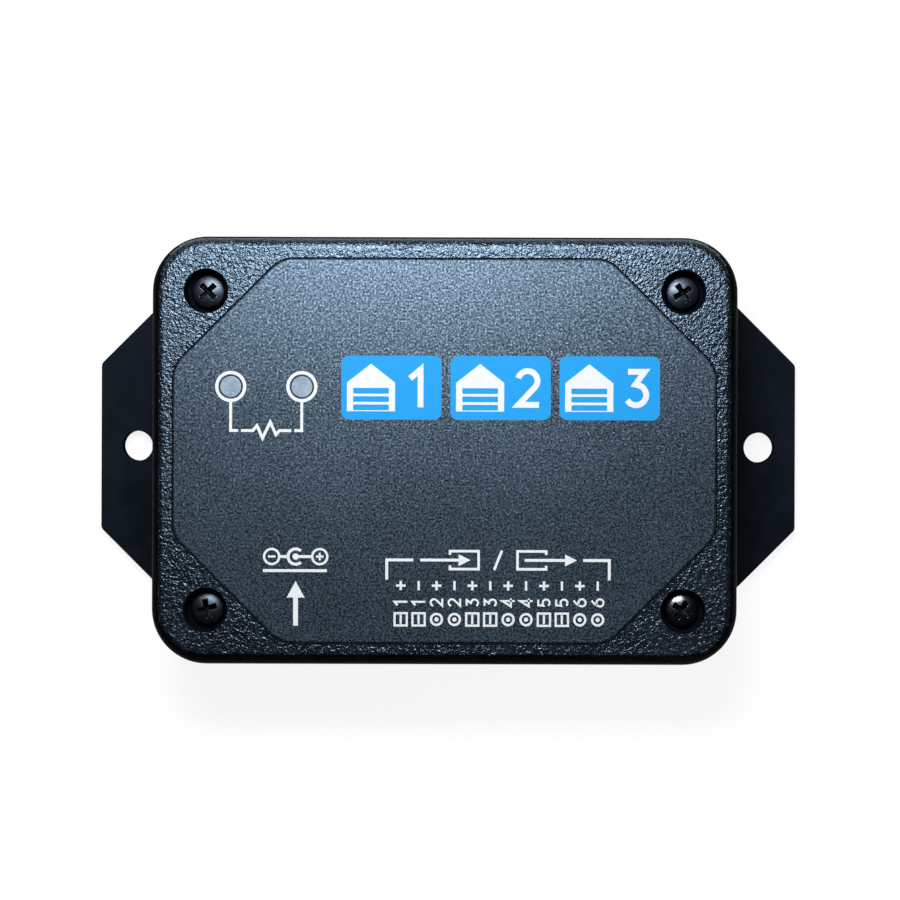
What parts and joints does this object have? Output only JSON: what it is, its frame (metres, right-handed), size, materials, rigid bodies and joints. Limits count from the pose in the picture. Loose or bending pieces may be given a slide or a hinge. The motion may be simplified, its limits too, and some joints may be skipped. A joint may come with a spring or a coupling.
{
  "type": "garage door controller",
  "caption": "Flat flanged wall box with a screwed-on front cover, a recessed eight-sided label and status lights, holding a relay board with a power jack and a pluggable terminal socket.",
  "frame": {"origin": "middle of the back face, the face that lies on the wall", "axes": "+X along the case from one flange to the other, +Y towards the edge without connectors, +Z out of the front panel"},
  "size_m": [0.1454, 0.084, 0.03],
  "materials": {
    "case_plastic": "black plastic with a moulded leather grain",
    "label_film": "dark printed film with a fine sparkle",
    "light_pipe": "frosted clear plastic",
    "black_screw": "black oxide steel",
    "plated_steel": "zinc-plated steel",
    "board": "green solder mask on glass epoxy",
    "socket_plastic": "green moulded plastic",
    "tinned": "tin-plated brass",
    "gold_pin": "gold-plated pin",
    "jack_plastic": "black moulded plastic",
    "relay_plastic": "blue moulded plastic",
    "radio_mask": "dark blue solder mask",
    "package": "black moulded package",
    "ferrite": "grey pressed ferrite",
    "can": "drawn aluminium",
    "fuse_body": "green polymer fuse",
    "white_package": "white moulded package",
    "ceramic": "tan ceramic",
    "button_plastic": "cream moulded plastic"
  },
  "bodies": {
    "base": {"base_tray": "case_plastic", "circuit_board": "board", "board_screws": "plated_steel", "terminal_socket": "socket_plastic", "terminal_pins": "gold_pin", "power_jack": "jack_plastic", "jack_pin": "tinned", "jack_contacts": "tinned", "relay_1": "relay_plastic", "relay_2": "relay_plastic", "relay_3": "relay_plastic", "relay_legs": "tinned", "radio_board": "radio_mask", "radio_shield": "plated_steel", "regulator": "package", "regulator_legs": "tinned", "choke": "ferrite", "capacitor_cans": "can", "capacitor_bases": "package", "input_fuse": "fuse_body", "input_diode": "package", "optocouplers": "white_package", "optocoupler_legs": "tinned", "driver_transistors": "package", "transistor_legs": "tinned", "flyback_diodes": "package", "chip_resistors": "package", "chip_capacitors": "ceramic", "chip_end_caps": "tinned", "status_lamps": "white_package", "switch_base": "package", "switch_plate": "plated_steel", "programming_header": "package", "programming_pins": "gold_pin"},
    "cover": {"top_cover": "case_plastic", "front_label": "label_film", "light_pipe_left": "light_pipe", "light_pipe_right": "light_pipe"},
    "screw_upper_left": {"cover_screw_upper_left": "black_screw"},
    "screw_upper_right": {"cover_screw_upper_right": "black_screw"},
    "screw_lower_left": {"cover_screw_lower_left": "black_screw"},
    "screw_lower_right": {"cover_screw_lower_right": "black_screw"},
    "button": {"reset_button": "button_plastic"}
  },
  "joints": [
    {"name": "cover_lift", "type": "slide", "parent": "base", "child": "cover", "axis": [0, 0, 1], "range_m": [0, 0.05]},
    {"name": "screw_upper_left_turn", "type": "hinge", "parent": "cover", "child": "screw_upper_left", "pos_m": [-0.0467, 0.0312, 0.0252], "axis": [0, 0, 1], "continuous": true},
    {"name": "screw_upper_right_turn", "type": "hinge", "parent": "cover", "child": "screw_upper_right", "pos_m": [0.0467, 0.0312, 0.0252], "axis": [0, 0, 1], "continuous": true},
    {"name": "screw_lower_left_turn", "type": "hinge", "parent": "cover", "child": "screw_lower_left", "pos_m": [-0.0467, -0.0312, 0.0252], "axis": [0, 0, 1], "continuous": true},
    {"name": "screw_lower_right_turn", "type": "hinge", "parent": "cover", "child": "screw_lower_right", "pos_m": [0.0467, -0.0312, 0.0252], "axis": [0, 0, 1], "continuous": true},
    {"name": "reset_press", "type": "slide", "parent": "base", "child": "button", "axis": [0, 0, -1], "range_m": [0, 0.00025], "stiffness_N_per_m": 3000}
  ]
}
